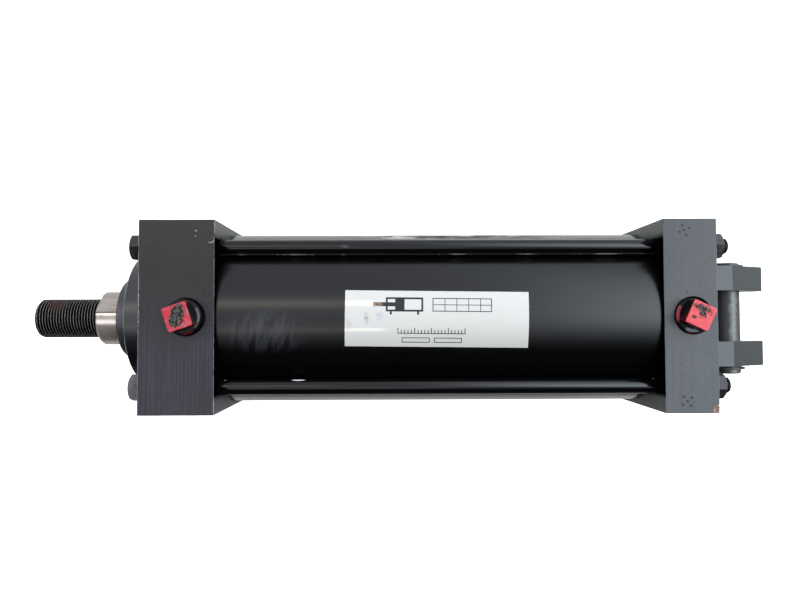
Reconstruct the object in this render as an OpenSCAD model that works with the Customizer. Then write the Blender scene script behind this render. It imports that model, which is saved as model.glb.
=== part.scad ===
// Tie-rod hydraulic cylinder with a fixed clevis on its cap.
// Frame: the origin is the centre of the clevis pin on the bore axis, +X points from the
// rod end to the clevis end, +Y lies along the clevis pin, +Z points out of the ports.

/* [Cylinder] */
// Travel of the piston and rod
stroke = 215.9; // [80:0.1:400]
// Inside diameter of the tube
bore_d = 101.6; // [101.4:0.1:102]
// Outside diameter of the tube
tube_d = 109.2; // [108.6:0.1:109.4]
// Diameter of the piston rod
rod_d = 34.925; // [32:0.025:35.2]
// Length of the piston
piston_len = 44.45; // [44:0.05:60]
// Gap left between the piston and the head or cap at either end of the stroke
end_gap = 1.325; // [0.5:0.005:3]

/* [Head and cap] */
// Side of the square head and cap
block_w = 114.3; // [112:0.1:118]
// Length of the head
head_len = 44.45; // [44:0.05:50]
// Length of the cap block
cap_len = 31.75; // [30:0.05:40]
// Chamfer on the edges of the blocks and the retainer plate
edge = 0.3; // [0.2:0.1:1]

/* [Clevis] */
// Distance from the cap face to the pin
pin_offset = 31.75; // [26:0.05:45]
// Diameter of the clevis pin
pin_d = 19.05; // [16:0.05:20]
// Gap between the ears
ear_gap = 33; // [28:0.1:36]
// Thickness of each ear
ear_t = 16; // [12:0.1:18]
// Full height of each ear
ear_h = 38.1; // [34:0.1:42]
// Length of the flat on the ears, from the cap face
ear_flat = 28.2; // [20:0.1:30]
// Distance from the pin to the end of the ears
ear_nose = 23; // [18:0.1:28]
// Height of the blunt end of the ears
ear_nose_h = 10; // [4:0.1:20]

/* [Tie rods] */
// Distance of each tie rod from the axis, along Y and along Z
tie_pos = 42.16; // [42.1:0.01:43]
// Diameter of the tie rods
tie_d = 9.525; // [8:0.005:9.6]
// Width across the flats of the tie rod nuts
nut_af = 14.2875; // [13:0.0125:15]
// Thickness of the tie rod nuts
nut_t = 8.7; // [6:0.1:9]
// Distance of the tie rod tips beyond the cap nuts
tie_tip = 3.6; // [2:0.1:6]

/* [Rod end and gland] */
// Length of the thread at the rod end
thread_len = 41.275; // [25:0.025:45]
// Major diameter of the rod thread
thread_d = 25.4; // [22:0.1:26]
// Pitch of the rod thread
thread_pitch = 1.8143; // [1.5:0.0001:2.2]
// Length of the wrench flats behind the thread
flat_len = 15.875; // [12:0.025:18]
// Distance across the wrench flats
flat_af = 28.575; // [27:0.025:30]
// Diameter of the pilot on the rod bearing
pilot_d = 50.8; // [49:0.1:52]
// Distance of the bearing front from the head face
pilot_out = 26; // [22:0.1:30]
// Diameter of the retainer plate
retainer_d = 82.4; // [81:0.1:86]
// Thickness of the retainer plate
retainer_t = 15; // [13:0.1:17]

/* [Ports] */
// Distance of the head port from the head face
head_port = 27.8; // [26:0.1:30]
// Distance of the cap port from the inner face of the cap
cap_port = 17.1; // [15:0.1:18]
// Diameter of the port holes
port_d = 21.34; // [20:0.02:22]
// Width across the square heads of the port plugs
plug_sq = 14.29; // [12:0.01:15]
// Height of the head port's plug above the block
head_plug_up = 16; // [11:0.1:18]
// Height of the cap port's plug above the block
cap_plug_up = 10.5; // [10.2:0.1:18]

/* [Hidden] */
$fn = 96;

// Places along X
cap_face = -pin_offset;
cap_in = cap_face - cap_len;
head_in = cap_in - stroke - piston_len - 2 * end_gap;
head_face = head_in - head_len;
bearing_front = head_face - pilot_out;
piston_rear = cap_in - end_gap;
piston_front = piston_rear - piston_len;
rod_out = 0.8;
rod_shoulder = bearing_front - rod_out - flat_len;
rod_tip = rod_shoulder - thread_len;

// Fits: all radial unless the name says otherwise
run_fit = 0.05;
cut = 1;
half_w = block_w / 2;
bore_r = bore_d / 2;
rod_r = rod_d / 2;

// Tube seats and their seals
seat_depth = 3;
seal_t = 1.6;

// Gland: the bearing is body_step larger in radius behind its pilot
bearing_in = 36;
body_step = 1;
body_r = pilot_d / 2 + body_step;
pilot_len = pilot_out - retainer_t + 0.3;
pilot_edge = 0.4;
flange_r = 29;
flange_t = 8;
gland_step_r = 21;
wiper_t = 6;
wiper_r = 22.5;
wiper_set = 0.5;
rod_seal_t = 9;
rod_seal_r = 22.5;
rod_seal_at = 20;
oring_at = 50;
oring_w = 4;
oring_groove_r = 23.2;
oring_wire_r = 1.55;
screw_r = 33.8;
screw_d = 7.94;
screw_head_d = 11.9;
screw_head_t = 7.9;
screw_len = 25.4;
socket_af = 6.35;

// Ports
port_floor = 36;
port_mouth_d = 22.5;
passage_r = 5;
passage_z = 42;
plug_body_d = port_d - 0.14;
plug_in = 14;
plug_head_h = 10;
plug_rim = 1.3;
head_plug_turn = 18.5;
cap_plug_turn = -24.8;

// Piston
piston_fit = 0.1;
spigot_r = 11.1125;
counter_r = 21;
counter_depth = 16;
piston_nut_af = 33.3375;
piston_nut_t = 13.9;
groove_w = 9;
groove_deep = 7;
groove_edge = 5;
wear_w = 12;
wear_deep = 3;
side_gap = 0.1;

// Clevis pin: the ends and the ring grooves are not symmetric, as the pin has slid toward -Y
pin_top = 35.2;
pin_bottom = -38;
ring_t = 1.3;
ring_d = 23.8;
ring_groove_r = 8.9;
ring_1_y = ear_gap / 2 + ear_t + 0.15 + ring_t / 2;
ring_2_y = -34.4;

// Thread form
thread_depth = 0.6134 * thread_pitch;
thread_crest = thread_pitch / 8;
tip_cut = 0.9;

// Turns of the tie rod nuts, in degrees, in the order of their numbers
head_nut_turn = [0, 12, 41, 17];
cap_nut_turn = [-3, 22, 13, 34];
// Signs of Y and Z for the four corners
corners = [[1, 1], [1, -1], [-1, 1], [-1, -1]];

// Label
label_len = 108.3;
label_w = 33;
label_t = 0.2;
label_at = 4.734 * 25.4;
label_y = -1.6;
label_turn = -0.75;

// ---- Shared shapes ----

// Places a shape drawn along +Z so that it lies along +X and starts at x
module along_x(x) {
    translate([x, 0, 0]) rotate([0, 90, 0]) children();
}

// Cylinder along +X from x, of length l and radius r
module bar(x, l, r) {
    along_x(x) cylinder(h = l, r = r);
}

// Ring along +X from x, of length l, between the radii r_in and r_out
module ring(x, l, r_in, r_out) {
    along_x(x) difference() {
        cylinder(h = l, r = r_out);
        translate([0, 0, -cut]) cylinder(h = l + 2 * cut, r = r_in);
    }
}

// Rectangle about the origin with its corners cut off at 45 degrees
module cut_rect(w, h, c) {
    polygon([
        [w / 2 - c, -h / 2], [w / 2, -h / 2 + c], [w / 2, h / 2 - c], [w / 2 - c, h / 2],
        [-w / 2 + c, h / 2], [-w / 2, h / 2 - c], [-w / 2, -h / 2 + c], [-w / 2 + c, -h / 2]
    ]);
}

// Square block from x, of length l, with every edge chamfered
module edged_block(x, l) {
    translate([x + l / 2, 0, 0]) intersection() {
        linear_extrude(block_w + 2, center = true) cut_rect(l, block_w, edge);
        rotate([90, 0, 0]) linear_extrude(block_w + 2, center = true) cut_rect(l, block_w, edge);
        rotate([0, 90, 0]) linear_extrude(l + 2, center = true) cut_rect(block_w, block_w, edge);
    }
}

// The four tie rod holes through a block from x, of length l
module tie_holes(x, l) {
    for (c = corners)
        translate([0, c[0] * tie_pos, c[1] * tie_pos]) bar(x - cut, l + 2 * cut, tie_d / 2 + 0.4);
}

// Port hole with a chamfered mouth, and the drilling that leads from it to the tube at x_to
module port_hole(x, x_to) {
    translate([x, 0, port_floor]) cylinder(h = half_w, d = port_d);
    translate([x, 0, half_w - (port_mouth_d - port_d) / 2])
        cylinder(h = (port_mouth_d - port_d) / 2 + 0.01, d1 = port_d, d2 = port_mouth_d + 0.02);
    translate([0, 0, passage_z]) bar(min(x, x_to), abs(x_to - x), passage_r);
}

// Annular seat for the end of the tube, cut seat_depth plus the seal deep from the face at x
module tube_seat(x, l) {
    ring(x, l, bore_r - run_fit, tube_d / 2 + run_fit);
}

// Hexagon nut from x along +X with both outer corners chamfered
module hex_nut(x, t, af, hole_r, turn) {
    corner_r = af / sqrt(3);
    drop = (corner_r - af / 2 + 0.2) * tan(30);
    along_x(x) rotate([0, 0, turn]) difference() {
        intersection() {
            cylinder(h = t, r = corner_r, $fn = 6);
            rotate_extrude() polygon([
                [0, 0], [af / 2 - 0.2, 0], [corner_r, drop], [corner_r, t - drop],
                [af / 2 - 0.2, t], [0, t]
            ]);
        }
        translate([0, 0, -cut]) cylinder(h = t + 2 * cut, r = hole_r);
    }
}

// Bar along +X from x with both ends chamfered by c
module end_cut_bar(x, l, r, c) {
    along_x(x) rotate_extrude() polygon([
        [0, 0], [r - c, 0], [r, c], [r, l - c], [r - c, l], [0, l]
    ]);
}

// ---- Fixed parts ----

// Square steel head: gland bore, port, tie rod holes and the seat of the tube
module head() {
    color("#3f4043") difference() {
        edged_block(head_face, head_len);
        tie_holes(head_face, head_len);
        bar(head_face - cut, bearing_in + cut, body_r + run_fit);
        bar(head_face - cut, flange_t + cut, flange_r + run_fit);
        bar(head_face, head_len + cut, gland_step_r);
        tube_seat(head_in - seat_depth - seal_t, seat_depth + seal_t + cut);
        port_hole(head_face + head_port, head_in + cut);
        for (i = [0 : 3])
            rotate([45 + 90 * i, 0, 0]) translate([0, 0, screw_r])
                bar(head_face - cut, screw_len - retainer_t + screw_head_t + 3, screw_d / 2 + 0.02);
    }
}

// One clevis ear between y0 and y0 + ear_t
module ear(y0) {
    h = ear_h / 2;
    nose = ear_nose_h / 2;
    translate([0, y0 + ear_t, 0]) rotate([90, 0, 0]) linear_extrude(ear_t) polygon([
        [cap_face - 5, -h], [cap_face + ear_flat, -h], [ear_nose, -nose],
        [ear_nose, nose], [cap_face + ear_flat, h], [cap_face - 5, h]
    ]);
}

// Square cap with the two clevis ears in one piece, its port and the seat of the tube
module cap() {
    color("#74777b") difference() {
        union() {
            edged_block(cap_in, cap_len);
            ear(ear_gap / 2);
            ear(-ear_gap / 2 - ear_t);
        }
        tie_holes(cap_in, cap_len);
        tube_seat(cap_in - cut, seat_depth + seal_t + cut);
        port_hole(cap_in + cap_port, cap_in - cut);
        rotate([90, 0, 0]) cylinder(h = block_w, d = pin_d + 2 * run_fit, center = true);
    }
}

// Honed tube with a small chamfer at each end of the bore
module tube() {
    x = head_in - seat_depth;
    l = cap_in - head_in + 2 * seat_depth;
    c = 0.8;
    color("#1c1d20") along_x(x) rotate_extrude() polygon([
        [bore_r + c, 0], [tube_d / 2, 0], [tube_d / 2, l], [bore_r + c, l],
        [bore_r, l - c], [bore_r, c]
    ]);
}

// Tie rod number i, with a chamfer on each tip
module tie_rod(i) {
    x = head_face - nut_t - 0.2;
    l = cap_face + nut_t + tie_tip - x;
    color("#17181a") translate([0, corners[i][0] * tie_pos, corners[i][1] * tie_pos])
        end_cut_bar(x, l, tie_d / 2, 0.8);
}

// Tie rod nut number i on the head
module head_nut(i) {
    color("#2b2c2e") translate([0, corners[i][0] * tie_pos, corners[i][1] * tie_pos])
        hex_nut(head_face - nut_t, nut_t, nut_af, tie_d / 2 + 0.02, head_nut_turn[i]);
}

// Tie rod nut number i on the cap
module cap_nut(i) {
    color("#2b2c2e") translate([0, corners[i][0] * tie_pos, corners[i][1] * tie_pos])
        hex_nut(cap_face, nut_t, nut_af, tie_d / 2 + 0.02, cap_nut_turn[i]);
}

// Round plate that holds the bearing in the head, counterbored for its four screws
module retainer_plate() {
    x = head_face - retainer_t;
    color("#242527") difference() {
        end_cut_bar(x, retainer_t, retainer_d / 2, edge);
        bar(x - cut, retainer_t + 2 * cut, body_r + run_fit);
        for (i = [0 : 3])
            rotate([45 + 90 * i, 0, 0]) translate([0, 0, screw_r]) {
                bar(x - cut, retainer_t + 2 * cut, screw_d / 2 + 0.2);
                bar(x - cut, screw_head_t + 0.3 + cut, screw_head_d / 2 + 0.2);
            }
    }
}

// Socket head screw number i of the retainer plate
module retainer_screw(i) {
    x = head_face - retainer_t + 0.3;
    color("#1b1b1c") rotate([45 + 90 * i, 0, 0]) translate([0, 0, screw_r]) difference() {
        union() {
            end_cut_bar(x, screw_head_t, screw_head_d / 2, 0.5);
            bar(x + screw_head_t - 0.5, screw_len + 0.5, screw_d / 2);
        }
        along_x(x - cut) cylinder(h = 4 + cut, r = socket_af / sqrt(3), $fn = 6);
    }
}

// Bearing cartridge that guides the rod and carries its wiper and seal
module rod_bearing() {
    l = pilot_out + bearing_in;
    color("#3a3530") difference() {
        union() {
            end_cut_bar(bearing_front, l, pilot_d / 2, pilot_edge);
            bar(bearing_front + pilot_len, l - pilot_len, body_r);
            bar(head_face, flange_t, flange_r);
        }
        bar(bearing_front - cut, l + 2 * cut, rod_r + run_fit);
        bar(bearing_front - cut, wiper_set + wiper_t + cut, wiper_r + 0.02);
        bar(bearing_front + rod_seal_at, rod_seal_t, rod_seal_r + 0.02);
        ring(bearing_front + oring_at - oring_w / 2, oring_w, oring_groove_r, body_r + cut);
    }
}

// Wiper lip ring pressed into the front of the bearing
module rod_wiper() {
    r = rod_r + 0.03;
    x = bearing_front + wiper_set;
    color("#1d1d1f") along_x(x) rotate_extrude() polygon([
        [r, 0], [r + 0.8, 0], [wiper_r - 2, 1.6], [wiper_r, 1.6], [wiper_r, wiper_t],
        [r + 1.5, wiper_t], [r + 1.5, 3], [r, 1.2]
    ]);
}

// U-cup rod seal in the bearing, open toward the pressure side
module rod_seal() {
    r = rod_r + 0.03;
    w = rod_seal_r - r;
    color("#6b3b2a") along_x(bearing_front + rod_seal_at + side_gap) rotate_extrude() polygon([
        [r, 0], [rod_seal_r, 0], [rod_seal_r, rod_seal_t - 2 * side_gap],
        [r + w * 0.65, rod_seal_t - 1], [r + w / 2, 4], [r + w * 0.35, rod_seal_t - 1],
        [r, rod_seal_t - 2 * side_gap]
    ]);
}

// O-ring between the bearing and the head
module bearing_o_ring() {
    color("#151515") along_x(bearing_front + oring_at) rotate_extrude()
        translate([(oring_groove_r + body_r + run_fit) / 2, 0]) circle(oring_wire_r, $fn = 32);
}

// Seals under the two ends of the tube
module tube_seal_head() {
    color("#151515") ring(head_in - seat_depth - seal_t, seal_t, bore_r + 0.1, tube_d / 2 - 0.1);
}
module tube_seal_cap() {
    color("#151515") ring(cap_in + seat_depth, seal_t, bore_r + 0.1, tube_d / 2 - 0.1);
}

// Blank label bent over the top of the tube
module label() {
    x = head_face + label_at;
    color("#e3e6e3") intersection() {
        ring(x - 5, label_len + 10, tube_d / 2 + 0.01, tube_d / 2 + 0.01 + label_t);
        translate([x + label_len / 2, label_y, tube_d / 2]) rotate([0, 0, label_turn])
            linear_extrude(20, center = true) cut_rect(label_len, label_w, 0.8);
    }
}

// ---- Moving parts, drawn with the rod fully in ----

// Outline of the thread from its tip at z = 0: a crest, a flank down, a root and a flank up
// for every turn, repeated as far as the length allows
function thread_outline(r, l, pitch, depth, crest) = [
    for (i = [0 : floor((l - tip_cut - pitch) / pitch)])
        let (z = tip_cut + i * pitch, flank = (pitch - 2 * crest) / 2)
            each [[r, z], [r, z + crest], [r - depth, z + crest + flank],
                  [r - depth, z + 2 * crest + flank]]
];

// Piston rod: threaded end, wrench flats, ground rod and the spigot that carries the piston
module piston_rod() {
    r = thread_d / 2;
    tail = piston_len - 1;
    shoulder = thread_len;
    seat = piston_front - rod_tip;
    far = seat + tail;
    color("#b9bbbd") difference() {
        along_x(rod_tip) rotate_extrude() polygon(concat(
            [[0, 0], [r - tip_cut, 0], [r - 0.05, tip_cut - 0.05]],
            thread_outline(r, thread_len, thread_pitch, thread_depth, thread_crest),
            [[r - 0.4, shoulder - 0.4], [r - 0.4, shoulder], [rod_r - 1.2, shoulder],
             [rod_r, shoulder + 1.2], [rod_r, seat], [spigot_r, seat], [spigot_r, far - 1],
             [spigot_r - 1, far], [0, far]]
        ));
        for (side = [0, 180])
            rotate([side - 45, 0, 0]) translate([rod_shoulder - cut, -rod_d / 2, flat_af / 2])
                cube([flat_len + cut, rod_d, rod_d]);
    }
}

// Cast piston with two seal grooves, a wear ring groove and a recess for its nut
module piston() {
    r = bore_r - piston_fit;
    mid = piston_front + piston_len / 2;
    color("#55575a") difference() {
        end_cut_bar(piston_front, piston_len, r, 1);
        bar(piston_front - cut, piston_len + 2 * cut, spigot_r + 0.02);
        bar(piston_rear - counter_depth, counter_depth + cut, counter_r);
        ring(piston_front + groove_edge, groove_w, r - groove_deep, r + cut);
        ring(piston_rear - groove_edge - groove_w, groove_w, r - groove_deep, r + cut);
        ring(mid - wear_w / 2, wear_w, r - wear_deep, r + cut);
        bar(piston_front + 10, 3, spigot_r + 2.2);
    }
}

// Nut that clamps the piston to the rod
module piston_nut() {
    color("#3c3d40")
        hex_nut(piston_rear - counter_depth, piston_nut_t, piston_nut_af, spigot_r + 0.02, 0);
}

// O-ring between the piston and the rod
module piston_o_ring() {
    color("#151515") along_x(piston_front + 11.5) rotate_extrude()
        translate([spigot_r + 1.12, 0]) circle(1.05, $fn = 32);
}

// Piston seal from x, cupped toward dir (+1 is +X)
module piston_seal(x, dir) {
    r_in = bore_r - piston_fit - groove_deep + run_fit;
    r_out = bore_r - run_fit;
    w = groove_w - 2 * side_gap;
    mid = (r_in + r_out) / 2;
    color("#20211f") translate([x + groove_w / 2, 0, 0]) rotate([0, 90 * dir, 0])
        rotate_extrude() polygon([
            [r_in, -w / 2], [r_out, -w / 2], [r_out, w / 2], [mid + 1.4, w / 2 - 0.8],
            [mid, -0.5], [mid - 1.4, w / 2 - 0.8], [r_in, w / 2]
        ]);
}
module piston_seal_front() {
    piston_seal(piston_front + groove_edge, -1);
}
module piston_seal_rear() {
    piston_seal(piston_rear - groove_edge - groove_w, 1);
}

// Bearing band around the middle of the piston
module wear_ring() {
    w = wear_w - 2 * side_gap;
    color("#8a7a55") ring(piston_front + piston_len / 2 - w / 2, w,
        bore_r - piston_fit - wear_deep + run_fit, bore_r - run_fit);
}

// Clevis pin with a groove for a retaining ring near each end
module clevis_pin() {
    r = pin_d / 2;
    c = 0.8;
    color("#4a4b4e") translate([0, pin_bottom, 0]) rotate([-90, 0, 0]) difference() {
        rotate_extrude() polygon([
            [0, 0], [r - c, 0], [r, c], [r, pin_top - pin_bottom - c],
            [r - c, pin_top - pin_bottom], [0, pin_top - pin_bottom]
        ]);
        for (y = [ring_1_y, ring_2_y])
            translate([0, 0, y - pin_bottom - ring_t / 2 - 0.05]) difference() {
                cylinder(h = ring_t + 0.1, r = r + cut);
                translate([0, 0, -cut]) cylinder(h = ring_t + 2 * cut, r = ring_groove_r);
            }
    }
}

// Open retaining ring at y, its gap at the bottom with a lug and a plier hole on each side
module pin_ring(y) {
    lug_r = 2.6;
    lug_side = 4.2;
    lug_down = ring_d / 2 - 0.3;
    gap_w = 2 * (lug_side - lug_r + 0.4);
    color("#303133") translate([0, y + ring_t / 2, 0]) rotate([90, 0, 0]) linear_extrude(ring_t)
        difference() {
            union() {
                circle(d = ring_d);
                for (s = [-1, 1])
                    translate([s * lug_side, -lug_down]) circle(lug_r, $fn = 32);
            }
            circle(ring_groove_r + 0.02);
            translate([-gap_w / 2, -ring_d]) square([gap_w, ring_d]);
            for (s = [-1, 1])
                translate([s * lug_side, -lug_down]) circle(1, $fn = 32);
        }
}

// Port plug centred at x: a round threaded body and a square head that ends up above the block
module port_plug(x, up, turn) {
    z0 = half_w - plug_in;
    body_h = plug_in + max(up - plug_head_h, -0.3);
    body_r = plug_body_d / 2;
    corner_r = plug_sq / sqrt(2) - 0.3;
    top = plug_in + up;
    color("#c8323f") translate([x, 0, z0]) {
        rotate_extrude() polygon([
            [0, 0], [body_r - 1, 0], [body_r, 1], [body_r, body_h - plug_rim],
            [body_r - plug_rim, body_h], [0, body_h]
        ]);
        rotate([0, 0, turn]) intersection() {
            translate([-plug_sq / 2, -plug_sq / 2, body_h - cut])
                cube([plug_sq, plug_sq, top - body_h + cut]);
            rotate_extrude() polygon([
                [0, 0], [corner_r, 0], [corner_r, top - 0.6], [corner_r - 0.6, top], [0, top]
            ]);
        }
    }
}

head();
cap();
tube();
for (i = [0 : 3]) {
    tie_rod(i);
    head_nut(i);
    cap_nut(i);
    retainer_screw(i);
}
retainer_plate();
rod_bearing();
rod_wiper();
rod_seal();
bearing_o_ring();
tube_seal_head();
tube_seal_cap();
label();
piston_rod();
piston();
piston_nut();
piston_o_ring();
piston_seal_front();
piston_seal_rear();
wear_ring();
clevis_pin();
pin_ring(ring_1_y);  // pin_ring_1
pin_ring(ring_2_y);  // pin_ring_2
port_plug(head_face + head_port, head_plug_up, head_plug_turn);  // port_plug_head
port_plug(cap_in + cap_port, cap_plug_up, cap_plug_turn);  // port_plug_cap
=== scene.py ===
"""Looks of a tie-rod hydraulic cylinder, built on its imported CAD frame.

All lengths are in metres. The origin is the clevis pin's centre, +X runs from the rod end to
the clevis, +Y along the pin and +Z out of the ports.
"""
import math

import bmesh
import bpy
from mathutils import Matrix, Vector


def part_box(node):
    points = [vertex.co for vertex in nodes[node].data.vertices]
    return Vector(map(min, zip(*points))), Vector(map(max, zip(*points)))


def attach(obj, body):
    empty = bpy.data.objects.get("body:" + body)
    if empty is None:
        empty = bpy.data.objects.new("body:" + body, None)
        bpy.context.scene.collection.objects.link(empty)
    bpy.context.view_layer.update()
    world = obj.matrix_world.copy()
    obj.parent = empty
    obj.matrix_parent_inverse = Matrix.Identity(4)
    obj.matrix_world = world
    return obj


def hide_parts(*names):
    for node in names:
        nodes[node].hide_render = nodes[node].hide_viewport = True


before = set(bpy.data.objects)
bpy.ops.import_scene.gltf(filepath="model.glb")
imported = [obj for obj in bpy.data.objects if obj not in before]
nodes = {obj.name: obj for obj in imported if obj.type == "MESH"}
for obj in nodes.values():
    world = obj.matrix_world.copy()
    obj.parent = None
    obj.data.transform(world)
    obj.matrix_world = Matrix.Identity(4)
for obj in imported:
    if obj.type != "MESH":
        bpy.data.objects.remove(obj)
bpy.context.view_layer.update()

MM = 0.001
INCH = 0.0254

# ---- Sizes shared with the CAD parts ----

HALF_BLOCK = 57.15 * MM
TUBE_R = 54.6 * MM
ROD_R = 17.4625 * MM
ROD_THREAD_R = 12.7 * MM
SPIGOT_R = 11.1125 * MM
ROD_PITCH = INCH / 14
THREAD_LEN = 41.275 * MM
FLAT_LEN = 15.875 * MM
FLAT_OFF = 14.2875 * MM
FLAT_TURN = math.radians(45)
SHOULDER_CUT = 1.2 * MM
TIE_R = 4.7625 * MM
TIE_PITCH = INCH / 24
TIE_THREAD = 14 * MM
PLUG_SIDE = 14.29 * MM
PLUG_CORNER_R = 9.8 * MM
PLUG_HEAD_H = 10 * MM
PLUG_BODY_R = 10.6 * MM
PLUG_TURNS = {"head": 18.5, "cap": -24.8}
HEAD_IN = -326.5 * MM
CAP_IN = -63.5 * MM
HEAD_PORT_X = -343.15 * MM
CAP_PORT_X = -46.4 * MM
LABEL_LEN = 108.3 * MM
LABEL_W = 33 * MM
LABEL_TURN = math.radians(-0.75)
LABEL_LIFT = 0.01 * MM
LABEL_T = 0.2 * MM
# Depth of a thread as a share of its pitch
THREAD_DEPTH = 0.6134

# ---- Sizes of the finish and the scene ----

PORT_MOUTH_R = 11.6 * MM
# Bounds in |y| of the painted shade on the blocks' inner faces, between the tie rods
GAP_SHADE_EDGE = (50 * MM, 46 * MM)
DULL_EDGE = (-40 * MM, -46 * MM)
ROD_DOT = (-409.5 * MM, 1.5 * MM, ROD_R)
INK_LIFT = 0.012 * MM
WELD = 2e-6
CAMERA_PLACE = (-221.9 * MM, -4.13 * MM, 447.83 * MM)
CAMERA_TURN = (2.0078, -0.5229, -0.1967)
CAMERA_LENS = 30.115
FLOOR_REACH = 15
# Strength that keeps the background pure white to the camera
PURE_WHITE = 1.03
LAMP_LEN = 1.4
LAMP_HEIGHT = 1.6
LAMP_COLOUR = (1.0, 0.91, 0.73)


# ---- Shaders ----


class NodeMaker:
    """Fills a node tree. Each call adds a node or two and returns the socket to use."""

    def __init__(self, tree):
        self.tree = tree

    def add(self, kind, **settings):
        node = self.tree.nodes.new("ShaderNode" + kind)
        for key, value in settings.items():
            setattr(node, key, value)
        return node

    def plug_in(self, value, socket):
        """Links a socket, or sets a number or colour."""
        if isinstance(value, bpy.types.NodeSocket):
            self.tree.links.new(value, socket)
        elif isinstance(value, tuple) and socket.type == "RGBA":
            socket.default_value = (*value, 1)
        else:
            socket.default_value = value

    def place(self, scale=(1, 1, 1), turn=(0, 0, 0), shift=(0, 0, 0)):
        """Object coordinates, moved by shift, then turned and scaled."""
        moved = self.add("VectorMath", operation="ADD")
        self.plug_in(self.add("TexCoord").outputs["Object"], moved.inputs[0])
        moved.inputs[1].default_value = shift
        mapping = self.add("Mapping", vector_type="POINT")
        mapping.inputs["Rotation"].default_value = turn
        self.plug_in(moved.outputs[0], mapping.inputs["Vector"])
        sized = self.add("VectorMath", operation="MULTIPLY")
        self.plug_in(mapping.outputs["Vector"], sized.inputs[0])
        sized.inputs[1].default_value = scale
        return sized.outputs[0]

    def noise(self, place, scale=1.0, detail=4.0, rough=0.55):
        node = self.add("TexNoise")
        node.inputs["Scale"].default_value = scale
        node.inputs["Detail"].default_value = detail
        node.inputs["Roughness"].default_value = rough
        self.plug_in(place, node.inputs["Vector"])
        return node.outputs["Fac"]

    def step(self, value, low, high):
        """0 up to low and 1 from high on, smooth between. High may be below low."""
        node = self.add("MapRange", interpolation_type="SMOOTHSTEP")
        self.plug_in(value, node.inputs["Value"])
        node.inputs["From Min"].default_value = low
        node.inputs["From Max"].default_value = high
        return node.outputs["Result"]

    def scale(self, value, low, high):
        """A value from 0 to 1, carried to low to high."""
        node = self.add("MapRange")
        self.plug_in(value, node.inputs["Value"])
        node.inputs["To Min"].default_value = low
        node.inputs["To Max"].default_value = high
        return node.outputs["Result"]

    def math(self, kind, *values):
        node = self.add("Math", operation=kind)
        for socket, value in zip(node.inputs, values):
            self.plug_in(value, socket)
        return node.outputs["Value"]

    def times(self, *values):
        product = values[0]
        for value in values[1:]:
            product = self.math("MULTIPLY", product, value)
        return product

    def mix(self, share, first, second):
        """Colours first to second, by share."""
        node = self.add("Mix", data_type="RGBA")
        self.plug_in(share, node.inputs["Factor"])
        ends = [s for s in node.inputs if s.type == "RGBA"]
        self.plug_in(first, ends[0])
        self.plug_in(second, ends[1])
        return [s for s in node.outputs if s.type == "RGBA"][0]

    def axes(self, place):
        node = self.add("SeparateXYZ")
        self.plug_in(place, node.inputs["Vector"])
        return node.outputs["X"], node.outputs["Y"], node.outputs["Z"]

    def length(self, x, y):
        return self.math("SQRT", self.math("ADD", self.times(x, x), self.times(y, y)))

    def near(self, point, low, high, stretch=(1, 1, 1)):
        """1 within low of a point and 0 beyond high, measured on stretched axes."""
        place = self.place(scale=stretch, shift=tuple(-c for c in point))
        node = self.add("VectorMath", operation="LENGTH")
        self.plug_in(place, node.inputs[0])
        return self.step(node.outputs["Value"], high, low)


class Paint(NodeMaker):
    """A procedural material."""

    def __init__(self, name, **constants):
        self.material = bpy.data.materials.new(name)
        self.material.use_nodes = True
        super().__init__(self.material.node_tree)
        self.shader = self.tree.nodes["Principled BSDF"]
        for key, value in constants.items():
            self.shader.inputs[key.replace("_", " ")].default_value = value

    def slant(self):
        """1 on the chamfers of a square block and 0 on its faces."""
        x, y, z = (self.math("ABSOLUTE", a)
                   for a in self.axes(self.add("TexCoord").outputs["Normal"]))
        most = self.math("MAXIMUM", self.times(x, y), self.times(y, z))
        most = self.math("MAXIMUM", most, self.times(x, z))
        return self.step(most, 0.44, 0.49)

    def colour(self, value):
        self.plug_in(value, self.shader.inputs["Base Color"])

    def rough(self, value, low, high):
        self.plug_in(self.scale(value, low, high), self.shader.inputs["Roughness"])

    def bump(self, *layers, rounding=0.0):
        """Bump from layers of (height, strength, distance), on edges rounded by a radius."""
        previous = None
        if rounding:
            edges = self.add("Bevel", samples=6)
            edges.inputs["Radius"].default_value = rounding
            previous = edges.outputs["Normal"]
        for height, strength, distance in layers:
            node = self.add("Bump")
            node.inputs["Strength"].default_value = strength
            node.inputs["Distance"].default_value = distance
            self.plug_in(height, node.inputs["Height"])
            if previous is not None:
                self.plug_in(previous, node.inputs["Normal"])
            previous = node.outputs["Normal"]
        self.plug_in(previous, self.shader.inputs["Normal"])


def punch_dots(p, x, y, spread, turn, size):
    """Five punched dots on a block's top: one in the middle and four around it."""
    place = p.place(turn=(0, 0, turn), shift=(-x, -y, -HALF_BLOCK))
    across, along, up = (p.math("ABSOLUTE", a) for a in p.axes(place))
    first = p.length(p.math("SUBTRACT", across, spread), along)
    second = p.length(across, p.math("SUBTRACT", along, spread))
    nearest = p.math("MINIMUM", p.math("MINIMUM", first, second), p.length(across, along))
    nearest = p.math("ADD", nearest, up)
    return p.step(nearest, size, size * 0.45)


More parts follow.
